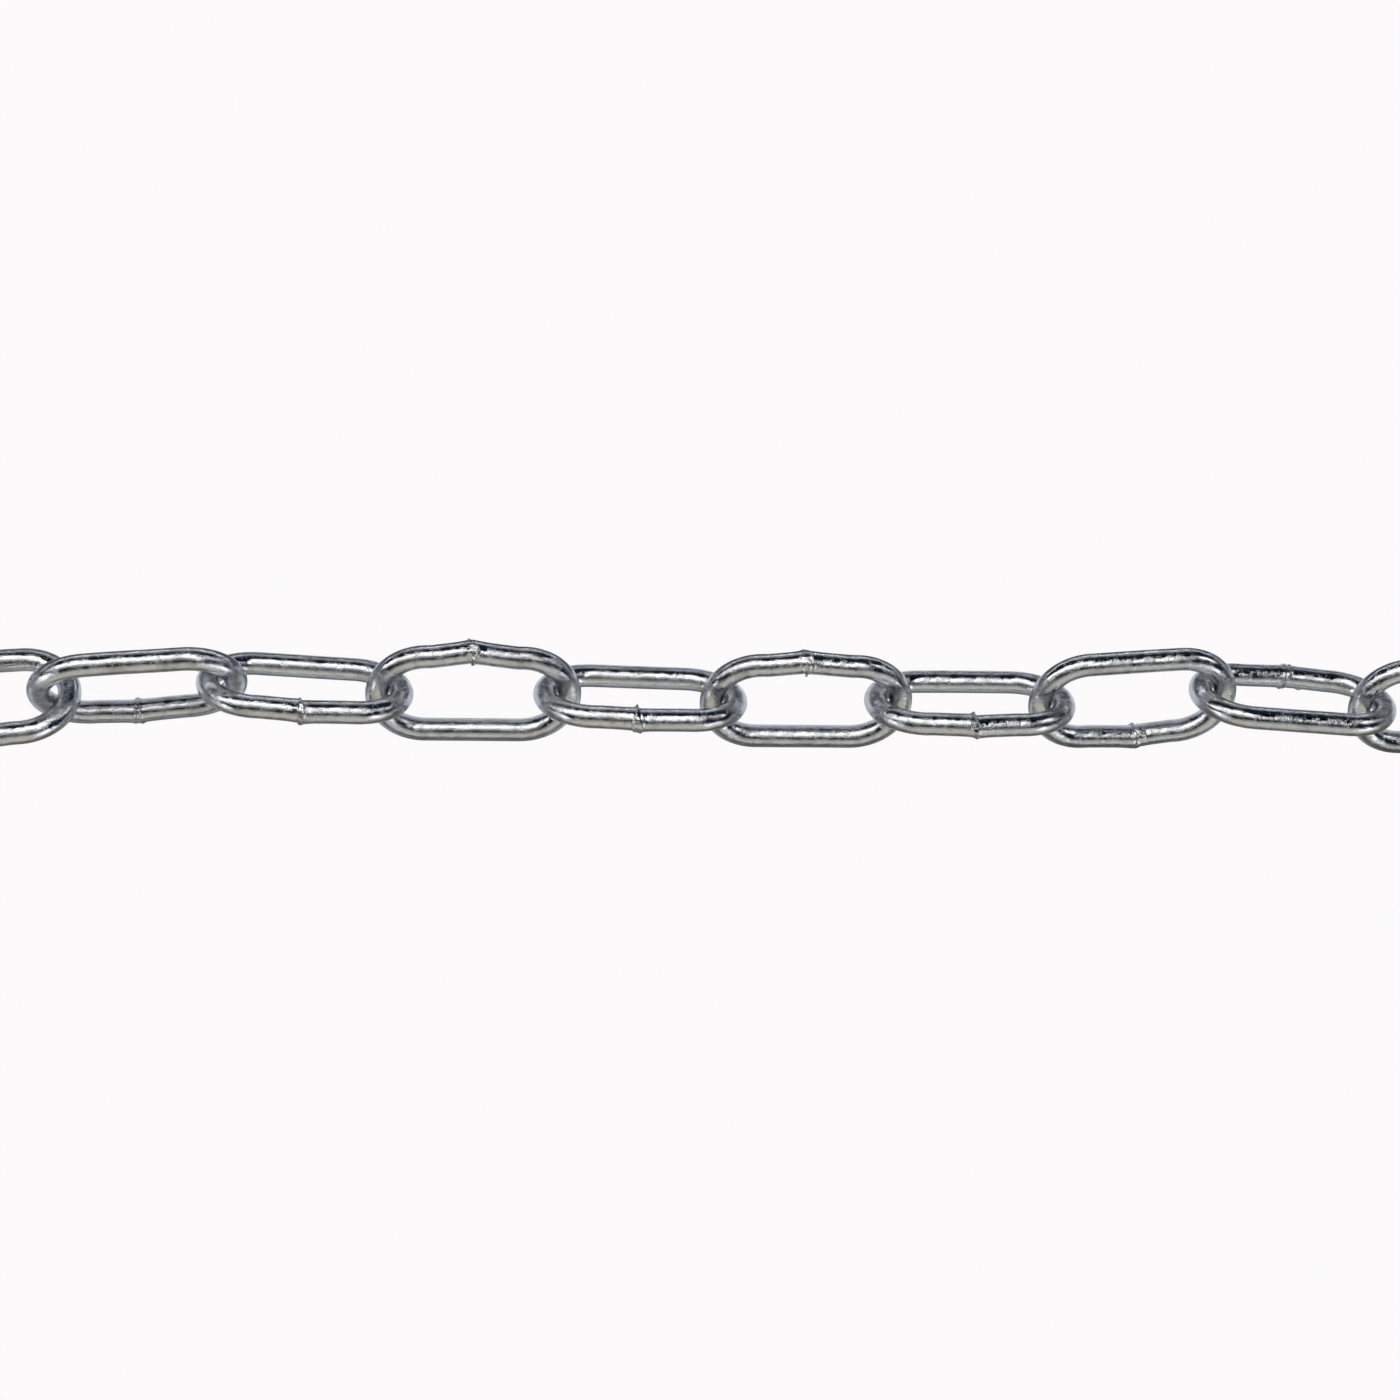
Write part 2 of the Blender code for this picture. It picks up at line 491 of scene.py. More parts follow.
class ChainStage(PropertyGroup):
    """Colours of the floor, painted in bands of light and shade, and of the room, and the lights
    and camera.
    """

    white: FloatVectorProperty(
        name="White",
        description="Colour of the ground and of the room as the camera sees them",
        subtype="COLOR",
        default=(0.972, 0.957, 0.964),
    )
    floor_colour: FloatVectorProperty(
        name="Floor",
        description="Colour of the floor further off on the far side, as the chain mirrors it",
        subtype="COLOR",
        default=(0.62, 0.64, 0.67),
    )
    # A pale band right under the chain, dimmer than the floor further off, between the two bands
    # of painted shade
    floor_under: FloatVectorProperty(
        name="Floor Under",
        description="Colour of the floor right under the chain, as the chain mirrors it",
        subtype="COLOR",
        default=(0.42, 0.44, 0.48),
    )
    # Painted shade: the dark band on the floor on the far side of the chain, for the chain to
    # mirror
    floor_shade: FloatVectorProperty(
        name="Shaded Floor",
        description="Colour of the floor on the far side of the chain, as the chain mirrors it",
        subtype="COLOR",
        default=(0.055, 0.06, 0.07),
    )
    # Painted shade: the dark band on the floor on the near side of the chain, where its own shadow
    # falls, for the chain to mirror
    near_shade: FloatVectorProperty(
        name="Near Shade",
        description="Colour of the floor on the near side of the chain, as the chain mirrors it",
        subtype="COLOR",
        default=(0.135, 0.13, 0.118),
    )
    # Painted light: a warm glow on the floor further off on the near side, for the chain to mirror
    floor_glow: FloatVectorProperty(
        name="Warm Floor",
        description="Colour of the floor further off on the near side, as the chain mirrors it",
        subtype="COLOR",
        default=(0.44, 0.43, 0.385),
    )
    key_strength: FloatProperty(
        name="Key Light",
        description="Brightness of the softboxes overhead",
        default=2.6,
    )
    floor_power: FloatProperty(
        name="Floor Light",
        description="Power of the low light that only the floor takes",
        default=45.0,
        unit="POWER",
    )
    near_glow: FloatVectorProperty(
        name="Near Glow",
        description="Colour of the warm light low on the near side, on the left",
        subtype="COLOR",
        default=(0.72, 0.70, 0.61),
    )
    near_glow_right: FloatVectorProperty(
        name="Near Glow Right",
        description="Colour of the light low on the near side, on the right",
        subtype="COLOR",
        default=(0.69, 0.69, 0.67),
    )
    window_glow: FloatVectorProperty(
        name="Window Glow",
        description="Colour of the two bright windows low on the near side",
        subtype="COLOR",
        soft_max=3.0,
        default=(1.7, 1.75, 1.8),
    )
    far_glow: FloatVectorProperty(
        name="Far Glow",
        description="Colour of the light low on the far side",
        subtype="COLOR",
        default=(0.42, 0.44, 0.48),
    )
    dark_left: FloatVectorProperty(
        name="Dark Left",
        description="Colour of the unlit room on the left",
        subtype="COLOR",
        default=(0.015, 0.016, 0.022),
    )
    dark_right: FloatVectorProperty(
        name="Dark Right",
        description="Colour of the unlit room on the right",
        subtype="COLOR",
        default=(0.012, 0.018, 0.035),
    )
    view_width: FloatProperty(
        name="View Width",
        description="Width of the picture at the chain",
        default=241.5 * MM,
        unit="LENGTH",
        precision=4,
    )


# Link geometry, in the link's own axes: X along it, Y across it, Z out of its plane


def ease(value):
    """Smooth step from 0 to 1."""
    value = min(1.0, max(0.0, value))
    return value * value * (3 - 2 * value)


def hump(away, size):
    """Smooth hump, 1 in its middle and faint from twice its size on."""
    return math.exp(-((away / size) ** 2))


def link_size(sizes):
    """Half the straight length of a leg, and how far the legs are from the middle."""
    eye_to_eye = sizes.inside_length + sizes.wire_diameter
    leg_half = eye_to_eye / 2 - sizes.crown_depth
    return leg_half, (sizes.inside_width + sizes.wire_diameter) / 2


def crown_line(sizes, steps, direction):
    """Centre points of one bent end, anticlockwise, without its two ends."""
    leg_half, offset = link_size(sizes)
    points = []
    for step in range(1, steps):
        turn = math.pi * step / steps - math.pi / 2
        along = direction * (leg_half + sizes.crown_depth * math.cos(turn))
        points.append((along, direction * offset * math.sin(turn)))
    return points


def plain_leg(sizes):
    """Centre points of the straight near leg, from left to right."""
    leg_half, offset = link_size(sizes)
    steps = math.ceil(2 * leg_half / sizes.step_length)
    return [(leg_half * (2 * step / steps - 1), -offset) for step in range(steps + 1)]


def welded_half_leg(sizes, weld, direction):
    """Centre points of half the far leg, from the weld outwards, close together near the weld."""
    leg_half, offset = link_size(sizes)
    start = weld.offset * MM
    reach = leg_half - direction * start
    step = sizes.weld_step
    out = step / 2
    points = []
    while out < reach - step / 2:
        bend = 1 - out / reach
        kink = weld.kink * MM * bend**KINK_POWER * ease(bend * KINK_EASE)
        points.append((start + direction * out, offset + kink))
        if out > CLOSE_RINGS:
            step = min(step * RING_GROWTH, sizes.step_length)
        out += step
    points.append((direction * leg_half, offset))
    return points


def centreline(sizes, weld):
    """Centre points of the whole link, from its weld on the far leg and round to it."""
    _, offset = link_size(sizes)
    steps = math.ceil(math.pi * (sizes.crown_depth + offset) / 2 / sizes.step_length)
    return [
        *welded_half_leg(sizes, weld, -1),
        *crown_line(sizes, steps, -1),
        *plain_leg(sizes),
        *crown_line(sizes, steps, 1),
        *reversed(welded_half_leg(sizes, weld, 1)),
    ]


def stations_of(points):
    """Distance along the wire and heading at each centre point."""
    points = [Vector((x, y, 0.0)) for x, y in points]
    along = 0.0
    stations = []
    for index, point in enumerate(points):
        before = points[max(index - 1, 0)]
        after = points[min(index + 1, len(points) - 1)]
        heading = math.atan2(after.y - before.y, after.x - before.x)
        along += (point - before).length
        stations.append(Station(along, point, heading))
    return stations


def ring_place(station):
    """Place of the wire's round section at a station: its Z runs along the wire."""
    turn = Euler((0, 0, station.heading)).to_matrix() @ Matrix(((0, 0, 1), (1, 0, 0), (0, 1, 0)))
    return Matrix.Translation(station.centre) @ turn.to_4x4()


def sweep_wire(bm, stations, sizes):
    """Draws a round wire along the stations and joins its two ends."""
    ring_layer = bm.verts.layers.int.new("ring")
    wire_layer = bm.verts.layers.float_vector.new("wire")
    start = ring_place(stations[0])
    made = bmesh.ops.create_circle(
        bm, cap_ends=False, segments=sizes.sides, radius=sizes.wire_diameter / 2, matrix=start
    )
    verts = made["verts"]
    undo = start.inverted()
    for vert in verts:
        local = undo @ vert.co
        vert[wire_layer] = Vector((0.0, local.x, local.y))
    edges = list({edge for vert in verts for edge in vert.link_edges})
    first_edges = edges
    for index, (before, after) in enumerate(zip(stations, stations[1:]), 1):
        made = bmesh.ops.extrude_edge_only(bm, edges=edges)["geom"]
        verts = [item for item in made if isinstance(item, bmesh.types.BMVert)]
        new = set(verts)
        edges = [
            item
            for item in made
            if isinstance(item, bmesh.types.BMEdge) and new.issuperset(item.verts)
        ]
        move = ring_place(after) @ ring_place(before).inverted()
        bmesh.ops.transform(bm, matrix=move, verts=verts)
        for vert in verts:
            vert[ring_layer] = index
            vert[wire_layer] = Vector((after.along, *vert[wire_layer].yz))
    bmesh.ops.bridge_loops(bm, edges=first_edges + edges)
    bmesh.ops.recalc_face_normals(bm, faces=bm.faces)
    return ring_layer, wire_layer


def line_distance(along, turn, line, radius):
    """Distance over the wire's surface, in millimetres, from a ridge's line."""
    nearest = math.inf
    for (start, start_turn), (end, end_turn) in zip(line, line[1:]):
        across = math.remainder(turn - math.radians(start_turn), math.tau) * radius
        reach = Vector((end - start, math.radians(end_turn - start_turn) * radius))
        away = Vector((along - start, across))
        share = min(1.0, max(0.0, away.dot(reach) / reach.length_squared))
        nearest = min(nearest, (away - reach * share).length)
    return nearest


def weld_lift(weld, seed, along, turn, radius):
    """How far the flash lifts the wire's surface, in millimetres, at a place on the leg."""
    across = radius * math.sin(turn) + seed * FLASH_SHIFT
    spot = Vector((along, radius * math.cos(turn), across))
    uneven = 1 + UNEVEN * noise.noise(spot * UNEVEN_SCALE)
    lifts = [SWELLING * hump(along, SWELLING_SIZE)]
    for ridge in weld.ridges:
        away = line_distance(along, turn, ridge.line, radius)
        lifts.append(uneven * ridge.height * hump(away, ridge.width))
    for lump in weld.lumps:
        across = math.remainder(turn - math.radians(lump.turn), math.tau) * radius
        away = math.hypot(along - lump.along, across)
        lifts.append(lump.height * hump(away, lump.size))
    lift = math.hypot(*lifts)
    rough = noise.noise(spot * ROUGH_SCALE) + FINE_SHARE * noise.noise(spot * FINE_SCALE)
    rough *= ROUGH_WIRE + ROUGH_FLASH * min(lift, ROUGH_MOST)
    return lift + rough * math.exp(-((along / ROUGH_SIZE) ** 4))


def shape_wire(bm, layers, stations, sizes, weld, seed, place):
    """Gives the plain swept wire its weld and its small strays from the ideal line.

    place is where the link lies: the flash is told from straight up, and stays off the floor.
    """
    ring_layer, wire_layer = layers
    weld_layer = bm.verts.layers.float.new("weld")
    leg_half, _ = link_size(sizes)
    radius = sizes.wire_diameter / 2 / MM
    to_link = place.to_3x3().inverted()
    up, far = to_link @ Vector((0, 0, 1)), to_link @ Vector((0, 1, 0))
    for vert in bm.verts:
        station = stations[vert[ring_layer]]
        straight = vert[wire_layer]
        outward = (vert.co - station.centre).normalized()
        lift = 0.0
        along = station.centre.x / MM - weld.offset
        if station.centre.y > 0 and abs(station.centre.x) < leg_half:
            turn = math.atan2(outward.dot(far), outward.dot(up))
            lift = weld_lift(weld, seed, along, turn, radius)
            step = weld.step * MM * math.exp(-abs(along) / STEP_FADE)
            vert.co.z += step * math.tanh(along / STEP_TURN)
        spot = station.centre * STRAY_SCALE + Vector((seed * STRAY_SHIFT, 0, 0))
        stray = noise.noise_vector(spot)
        vert.co += outward * lift * MM + stray * sizes.wander
        vert.co += up * max(0.0, -(place @ vert.co).z)
        vert[weld_layer] = ease((lift - WELD_FROM) / WELD_RISE)
        vert[wire_layer] = Vector((station.along + seed * DRAW_SHIFT, straight.y, straight.z))


def link_place(name):
    """Where a link of the frame lies, from its own long and short axes, and its weld's side.

    The far leg, at +Y of the link's own axes, is made the one with the weld.
    """
    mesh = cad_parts[name].data
    points = np.empty(len(mesh.vertices) * 3)
    mesh.vertices.foreach_get("co", points)
    points = points.reshape(-1, 3)
    low, high = points.min(axis=0), points.max(axis=0)
    _, axes = np.linalg.eigh(np.cov((points - (low + high) / 2).T))
    length, across = axes[:, 2], axes[:, 1]
    if length[0] < 0:
        length = -length
    reach = points @ across
    ends = points @ length
    extent = ends.max() - ends.min()
    crowns = reach[np.abs(ends - (ends.min() + ends.max()) / 2) > extent * CROWN_SHARE]
    middle = (crowns.min() + crowns.max()) / 2
    if reach.max() - middle < middle - reach.min():
        across, middle = -across, -middle
    normal = np.cross(length, across)
    out = points @ normal
    centre = length * (ends.min() + ends.max()) / 2
    centre = centre + across * middle + normal * (out.min() + out.max()) / 2
    turn = Matrix(np.array((length, across, normal)).T.tolist())
    return Matrix.Translation(Vector(centre)) @ turn.to_4x4()


def mesh_object(name, bm, place, material):
    """Puts a finished bmesh in the scene, with its place in its mesh."""
    bmesh.ops.transform(bm, matrix=place, verts=bm.verts)
    mesh = bpy.data.meshes.new(name)
    bm.to_mesh(mesh)
    bm.free()
    mesh.shade_smooth()
    mesh.materials.append(material)
    obj = bpy.data.objects.new(name, mesh)
    bpy.context.scene.collection.objects.link(obj)
    return obj


def make_link(name, index, sizes, material):
    """One link with its weld, in the place of the frame's plain one."""
    weld = WELDS[(index - FIRST_SHOWN) % len(WELDS)]
    seed = index * SEED_STEP + SEED_START
    place = link_place(name)
    stations = stations_of(centreline(sizes, weld))
    bm = bmesh.new()
    layers = sweep_wire(bm, stations, sizes)
    shape_wire(bm, layers, stations, sizes, weld, seed, place)
    obj = mesh_object(name.replace("link", "wire_link"), bm, place, material)
    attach(obj, name)
    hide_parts(name)


# Materials


def new_group(name, inputs, outputs):
    """An empty shader node group with the given sockets, and its input and output nodes."""
    group = bpy.data.node_groups.new(name, "ShaderNodeTree")
    for label, kind, default in inputs:
        socket = group.interface.new_socket(name=label, in_out="INPUT", socket_type=kind)
        if default is not None:
            socket.default_value = default
    for label, kind in outputs:
        group.interface.new_socket(name=label, in_out="OUTPUT", socket_type=kind)
    return group, group.nodes.new("NodeGroupInput"), group.nodes.new("NodeGroupOutput")


def add(tree, kind, **settings):
    """A new shader node of the given kind and properties."""
    node = tree.nodes.new(f"ShaderNode{kind}")
    for key, value in settings.items():
        setattr(node, key, value)
    return node


def link(tree, source, target):
    """Joins two sockets."""
    tree.links.new(source, target)


def feed(tree, value, target):
    """Joins a socket to the target, or sets the target to a plain value."""
    if isinstance(value, bpy.types.NodeSocket):
        link(tree, value, target)
    else:
        target.default_value = value


def ripple_group():
    """Noise for the ripples, waves, patches and draw lines, as a height between 0 and 1."""
    group, given, out = new_group(
        "Plating Ripples",
        (
            ("Vector", "NodeSocketVector", None),
            ("Scale", "NodeSocketFloat", 1800.0),
            ("Detail", "NodeSocketFloat", 2.0),
        ),
        (("Height", "NodeSocketFloat"),),
    )
    fine = add(group, "TexNoise", label="Ripples", noise_dimensions="3D")
    link(group, given.outputs["Vector"], fine.inputs["Vector"])
    link(group, given.outputs["Scale"], fine.inputs["Scale"])
    link(group, given.outputs["Detail"], fine.inputs["Detail"])
    link(group, fine.outputs["Fac"], out.inputs["Height"])
    return group


def pits_group():
    """Scattered pits of the plating: a mask that is 1 in a pit."""
    group, given, out = new_group(
        "Plating Pits",
        (
            ("Vector", "NodeSocketVector", None),
            ("Scale", "NodeSocketFloat", 2000.0),
            ("Size", "NodeSocketFloat", 0.3),
            ("Share", "NodeSocketFloat", 0.5),
        ),
        (("Mask", "NodeSocketFloat"),),
    )
    cells = add(group, "TexVoronoi", label="Pit Cells", feature="F1")
    link(group, given.outputs["Vector"], cells.inputs["Vector"])
    link(group, given.outputs["Scale"], cells.inputs["Scale"])
    hole = remap(group, cells.outputs["Distance"], (0.0, given.outputs["Size"]), (1.0, 0.0))
    split = add(group, "SeparateColor")
    link(group, cells.outputs["Color"], split.inputs["Color"])
    chosen = combine(group, "LESS_THAN", split.outputs["Red"], given.outputs["Share"])
    link(group, combine(group, "MULTIPLY", hole, chosen), out.inputs["Mask"])
    return group


def place_group(tree, group, vector, **values):
    """A node that shows a pattern group at the given coordinates, with values on its sockets."""
    node = add(tree, "Group", node_tree=group)
    link(tree, vector, node.inputs["Vector"])
    for key, value in values.items():
        node.inputs[key.title()].default_value = value
    return node


def mix_colour(tree, factor, first, second):
    """A colour mix with plain colours or sockets on its two inputs."""
    node = add(tree, "Mix", data_type="RGBA")
    link(tree, factor, node.inputs["Factor"])
    for value, socket in ((first, node.inputs[6]), (second, node.inputs[7])):
        plain = not isinstance(value, bpy.types.NodeSocket)
        feed(tree, (*value, 1.0) if plain else value, socket)
    return node.outputs[2]


def mix_shader(tree, factor, first, second):
    """A mix of two shaders, as what the tree puts out."""
    node = add(tree, "MixShader")
    for source, target in zip((factor, first, second), node.inputs):
        link(tree, source, target)
    put_out(tree, node.outputs["Shader"])


def put_out(tree, shader):
    """Makes a shader the one that the tree puts out."""
    out = next(node for node in tree.nodes if node.bl_idname.startswith("ShaderNodeOutput"))
    link(tree, shader, out.inputs["Surface"])


def remap(tree, value, span, to=(0.0, 1.0)):
    """Maps a value from one span to another, eased and clamped."""
    node = add(tree, "MapRange", interpolation_type="SMOOTHSTEP")
    link(tree, value, node.inputs["Value"])
    names = ("From Min", "From Max", "To Min", "To Max")
    for name, end in zip(names, (*span, *to)):
        feed(tree, end, node.inputs[name])
    return node.outputs["Result"]


def combine(tree, operation, first, second):
    """Adds, multiplies or compares two values or sockets."""
    node = add(tree, "Math", operation=operation)
    for value, socket in zip((first, second), node.inputs):
        feed(tree, value, socket)
    return node.outputs["Value"]


def separate(tree, vector):
    """The X, Y and Z of a vector."""
    node = add(tree, "SeparateXYZ")
    link(tree, vector, node.inputs["Vector"])
    return [node.outputs[name] for name in "XYZ"]


def bump(tree, height, distance, before=None):
    """A bump at full strength, on top of another one if there is one before."""
    node = add(tree, "Bump")
    node.inputs["Distance"].default_value = distance
    node.inputs["Strength"].default_value = 1.0
    link(tree, height, node.inputs["Height"])
    if before:
        link(tree, before, node.inputs["Normal"])
    return node.outputs["Normal"]


def plating_material(finish):
    """Bright zinc plating over drawn wire, with ripples, pits and a slightly rougher weld."""
    material = bpy.data.materials.new("bright_zinc_plating")
    material.use_nodes = True
    tree = material.node_tree
    shader = tree.nodes["Principled BSDF"]
    shader.inputs["Metallic"].default_value = 1.0
    wire = add(tree, "Attribute", attribute_name="wire").outputs["Vector"]
    weld = add(tree, "Attribute", attribute_name="weld").outputs["Fac"]
    where = add(tree, "TexCoord").outputs["Object"]
    stretch = add(tree, "Mapping")
    stretch.inputs["Scale"].default_value = DRAW_STRETCH
    link(tree, wire, stretch.inputs["Vector"])
    lines = stretch.outputs["Vector"]

    ripples = ripple_group()
    peel = place_group(tree, ripples, where, scale=1 / finish.peel_size, detail=2.0)
    waves = place_group(tree, ripples, where, scale=1 / finish.wave_size, detail=2.0)
    patches = place_group(tree, ripples, where, scale=1 / finish.patch_size, detail=1.0)
    drawn = place_group(tree, ripples, lines, scale=1 / finish.draw_size, detail=2.0)
    pits = place_group(
        tree, pits_group(), where, scale=1 / finish.pit_size, size=PIT_RADIUS, share=PIT_SHARE
    )
    wave = waves.outputs["Height"]
    pit = pits.outputs["Mask"]

    stain = remap(tree, wave, STAIN_HEIGHTS, (0.0, STAIN_MOST))
    colour = mix_colour(tree, stain, finish.bright_colour, finish.dull_colour)
    colour = mix_colour(tree, pit, colour, finish.dull_colour)
    colour = mix_colour(tree, weld, colour, finish.weld_colour)
    link(tree, colour, shader.inputs["Base Color"])

    rough = remap(tree, wave, DULL_HEIGHTS, ROUGHNESS)
    rough = combine(tree, "ADD", rough, combine(tree, "MULTIPLY", weld, WELD_ROUGHNESS))
    link(tree, rough, shader.inputs["Roughness"])

    normal = bump(tree, wave, finish.wave_depth)
    normal = bump(tree, drawn.outputs["Height"], finish.draw_depth, before=normal)
    grit = combine(tree, "MULTIPLY", weld, WELD_PEEL)
    patch = remap(tree, patches.outputs["Height"], PATCH_HEIGHTS, PATCH_PEEL)
    grit = combine(tree, "ADD", grit, patch)
    grit = combine(tree, "MULTIPLY", grit, peel.outputs["Height"])
    normal = bump(tree, grit, finish.peel_depth, before=normal)
    hole = remap(tree, pit, (0.0, 1.0), (1.0, 0.0))
    normal = bump(tree, hole, finish.pit_depth, before=normal)
    link(tree, normal, shader.inputs["Normal"])
    return material


def floor_material(stage):
    """Matt floor painted in bands of light and shade for the chain to mirror, and clear from
    below: painted shade beside the chain on both sides, and a painted warm glow further off on the
    near side.
    """
    material = bpy.data.materials.new("pale_floor")
    material.use_nodes = True
    tree = material.node_tree
    shader = tree.nodes["Principled BSDF"]
    shader.inputs["Roughness"].default_value = 0.9
    shader.inputs["Specular IOR Level"].default_value = 0.1
    _, y, _ = separate(tree, add(tree, "TexCoord").outputs["Object"])
    # Painted shade on the far side, pale further off, painted shade on the near side, and a
    # painted warm glow further off on the near side
    colour = mix_colour(tree, remap(tree, y, SHADE_BAND), stage.floor_under, stage.floor_shade)
    colour = mix_colour(tree, remap(tree, y, PALE_BAND), colour, stage.floor_colour)
    colour = mix_colour(tree, remap(tree, y, NEAR_SHADE_BAND), colour, stage.near_shade)
    colour = mix_colour(tree, remap(tree, y, GLOW_BAND), colour, stage.floor_glow)
    link(tree, colour, shader.inputs["Base Color"])
    below = add(tree, "NewGeometry").outputs["Backfacing"]
    clear = add(tree, "BsdfTransparent").outputs["BSDF"]
    mix_shader(tree, below, shader.outputs["BSDF"], clear)
    return material


# Stage


def add_skimming_light(stage):
    """Low light from the far side that only the floor takes, for the chain to mirror."""
    data = bpy.data.lights.new("skimming_light", "AREA")
    data.shape = "RECTANGLE"
    data.size, data.size_y = SKIM_SIZE
    data.energy = stage.floor_power
    lamp = bpy.data.objects.new("skimming_light", data)
    lamp.location = SKIM_PLACE
    lamp.rotation_euler = (-lamp.location).to_track_quat("-Z", "Y").to_euler()
    lamp.visible_camera = False
    lamp.visible_glossy = False
    bpy.context.scene.collection.objects.link(lamp)


def add_camera(stage):
    """Long lens over the near side, leaning a little to the left, as the picture was taken."""
    azimuth, elevation, roll = (math.radians(angle) for angle in CAMERA_ANGLES)
    back = Vector(
        (
            math.sin(azimuth) * math.cos(elevation),
            -math.cos(azimuth) * math.cos(elevation),
            math.sin(elevation),
        )
    )
    side = Vector((math.cos(azimuth), math.sin(azimuth), 0.0))
    up = back.cross(side)
    right = side * math.cos(roll) + up * math.sin(roll)
    up = back.cross(right)
    data = bpy.data.cameras.new("camera")
    data.sensor_width = CAMERA_SENSOR
    data.lens = CAMERA_SENSOR * CAMERA_DISTANCE / stage.view_width
    data.clip_start, data.clip_end = CAMERA_CLIP
    camera = bpy.data.objects.new("camera", data)
    turn = Matrix((right, up, back)).transposed()
    place = Vector(CAMERA_TARGET) + back * CAMERA_DISTANCE
    camera.matrix_world = Matrix.Translation(place) @ turn.to_4x4()
    bpy.context.scene.collection.objects.link(camera)
    bpy.context.scene.camera = camera


def add_floor(stage):
    """A wide floor just under the chain, which shows only in the chain's reflections.

    The camera sees the white room in its place, so links folded under it stay in sight.
    """
    bm = bmesh.new()
    bmesh.ops.create_grid(bm, x_segments=1, y_segments=1, size=FLOOR_HALF)
    place = Matrix.Translation((0.0, 0.0, -FLOOR_DROP))
    floor = mesh_object("floor", bm, place, floor_material(stage))
    floor.visible_camera = False


def softbox_material(stage, box):
    """Glow of a softbox, faint towards the near side and cut off sharply on the far side."""
    material = bpy.data.materials.new(box.name)
    material.use_nodes = True
    tree = material.node_tree
    tree.nodes.remove(tree.nodes["Principled BSDF"])
    along, across, _ = separate(tree, add(tree, "UVMap", uv_map="face").outputs["UV"])
    start, end, reach = box.swing
    across = combine(tree, "ADD", across, remap(tree, along, (start, end), (0.0, reach)))
    glow = remap(tree, across, SOFTBOX_RISE, (0.0, 1 - SOFTBOX_FAINT))
    faint = remap(tree, across, SOFTBOX_FAINT_RISE, (0.0, SOFTBOX_FAINT))
    glow = combine(tree, "ADD", glow, faint)
    glow = combine(tree, "MULTIPLY", glow, remap(tree, across, SOFTBOX_EDGE, (1.0, 0.0)))
    glow = combine(tree, "MULTIPLY", glow, remap(tree, along, box.rise))
    glow = combine(tree, "MULTIPLY", glow, remap(tree, along, box.fall, (1.0, 0.0)))
    light = add(tree, "Emission")
    link(tree, combine(tree, "MULTIPLY", glow, stage.key_strength), light.inputs["Strength"])
    put_out(tree, light.outputs["Emission"])
    return material


def add_softbox(stage, box):
    """Softbox over the chain, turned to face the far side a little."""
    bm = bmesh.new()
    bm.loops.layers.uv.new("face")
    bmesh.ops.create_grid(bm, x_segments=1, y_segments=1, size=0.5, calc_uvs=True)
    (left, right), (near, far) = box.width, box.depth
    bmesh.ops.scale(bm, vec=(right - left, far - near, 1.0), verts=bm.verts)
    middle = Vector(((left + right) / 2, (near + far) / 2, SOFTBOX_HEIGHT))
    bmesh.ops.translate(bm, vec=middle, verts=bm.verts)
    turn = Matrix.Rotation(SOFTBOX_TILT, 4, "X")
    softbox = mesh_object(box.name, bm, turn, softbox_material(stage, box))
    softbox.visible_camera = False


def add_room(stage):
    """A dark room, pale low on the right and far off, with a near glow and two windows.

    It lights the chain and shows in it. The camera itself sees the room white.
    """
    world = bpy.data.worlds.new("room")
    world.use_nodes = True
    tree = world.node_tree
    where = add(tree, "TexCoord").outputs["Generated"]
    x, y, z = separate(tree, where)
    side = remap(tree, x, RIGHT_SIDE)
    colour = mix_colour(tree, side, stage.dark_left, stage.dark_right)
    horizon = combine(tree, "MULTIPLY", side, remap(tree, z, HORIZON))
    colour = mix_colour(tree, horizon, colour, stage.far_glow)
    colour = mix_colour(tree, remap(tree, y, FAR_WALL), colour, stage.far_glow)
    glow = mix_colour(tree, side, stage.near_glow, stage.near_glow_right)
    colour = mix_colour(tree, remap(tree, y, NEAR_WALL), colour, glow)
    for direction in WINDOWS:
        aim = add(tree, "VectorMath", operation="DOT_PRODUCT")
        link(tree, where, aim.inputs[0])
        aim.inputs[1].default_value = direction
        window = remap(tree, aim.outputs["Value"], WINDOW_EDGE)
        colour = mix_colour(tree, window, colour, stage.window_glow)
    background = tree.nodes["Background"]
    link(tree, colour, background.inputs["Color"])
    white = add(tree, "Background")
    white.inputs["Color"].default_value = (*stage.white, 1.0)
    seen = add(tree, "LightPath").outputs["Is Camera Ray"]
    mix_shader(tree, seen, background.outputs["Background"], white.outputs["Background"])
    bpy.context.scene.world = world


# Operators


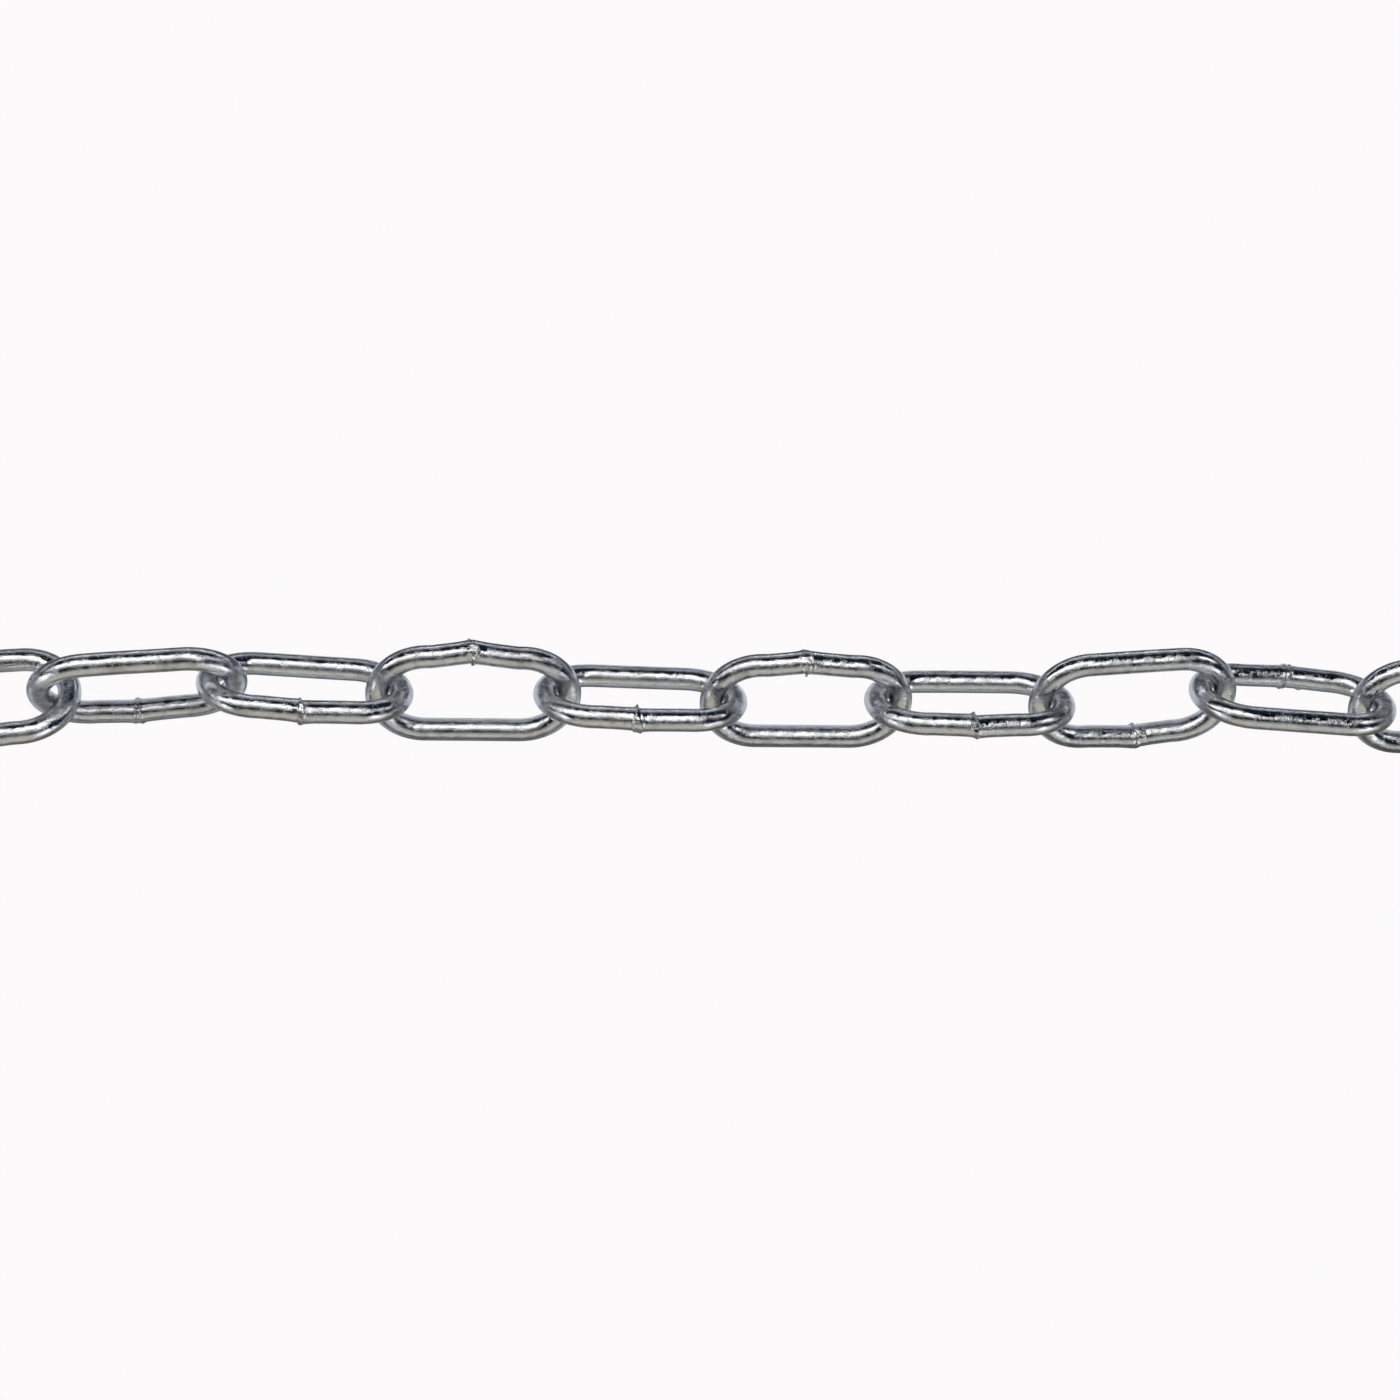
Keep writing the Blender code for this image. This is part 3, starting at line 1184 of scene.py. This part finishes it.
class CHAIN_OT_add_links(Operator):
    """Makes every link of the chain in its place in the frame"""

    bl_idname = "chain.add_links"
    bl_label = "Add Links"
    bl_options = {"REGISTER", "UNDO"}

    def execute(self, context):
        scene = context.scene
        noise.seed_set(NOISE_SEED)
        material = plating_material(scene.chain_finish)
        for index, name in enumerate(LINK_NAMES):
            make_link(name, index, scene.chain_link_sizes, material)
        return {"FINISHED"}


class CHAIN_OT_add_stage(Operator):
    """Makes the floor, the lights and the camera"""

    bl_idname = "chain.add_stage"
    bl_label = "Add Stage"
    bl_options = {"REGISTER", "UNDO"}

    def execute(self, context):
        stage = context.scene.chain_stage
        add_floor(stage)
        add_room(stage)
        add_camera(stage)
        for box in SOFTBOXES:
            add_softbox(stage, box)
        add_skimming_light(stage)
        context.scene.view_settings.view_transform = "Standard"
        return {"FINISHED"}


class CHAIN_PT_panel(Panel):
    """Sizes, finish and stage of the chain."""

    bl_idname = "CHAIN_PT_panel"
    bl_label = "Welded Chain"
    bl_space_type = "VIEW_3D"
    bl_region_type = "UI"
    bl_category = "Chain"

    def draw(self, context):
        scene = context.scene
        for title, group, operator in (
            ("Links", scene.chain_link_sizes, CHAIN_OT_add_links),
            ("Plating", scene.chain_finish, None),
            ("Stage", scene.chain_stage, CHAIN_OT_add_stage),
        ):
            box = self.layout.box()
            box.label(text=title)
            for name in group.__annotations__:
                box.prop(group, name)
            if operator:
                box.operator(operator.bl_idname)


CLASSES = (
    ChainLinkSizes,
    ChainFinish,
    ChainStage,
    CHAIN_OT_add_links,
    CHAIN_OT_add_stage,
    CHAIN_PT_panel,
)


def register():
    for cls in CLASSES:
        bpy.utils.register_class(cls)
    bpy.types.Scene.chain_link_sizes = PointerProperty(type=ChainLinkSizes)
    bpy.types.Scene.chain_finish = PointerProperty(type=ChainFinish)
    bpy.types.Scene.chain_stage = PointerProperty(type=ChainStage)


def unregister():
    del bpy.types.Scene.chain_stage
    del bpy.types.Scene.chain_finish
    del bpy.types.Scene.chain_link_sizes
    for cls in reversed(CLASSES):
        bpy.utils.unregister_class(cls)


def main():
    register()
    bpy.ops.chain.add_links()
    bpy.ops.chain.add_stage()


if __name__ == "__main__":
    main()
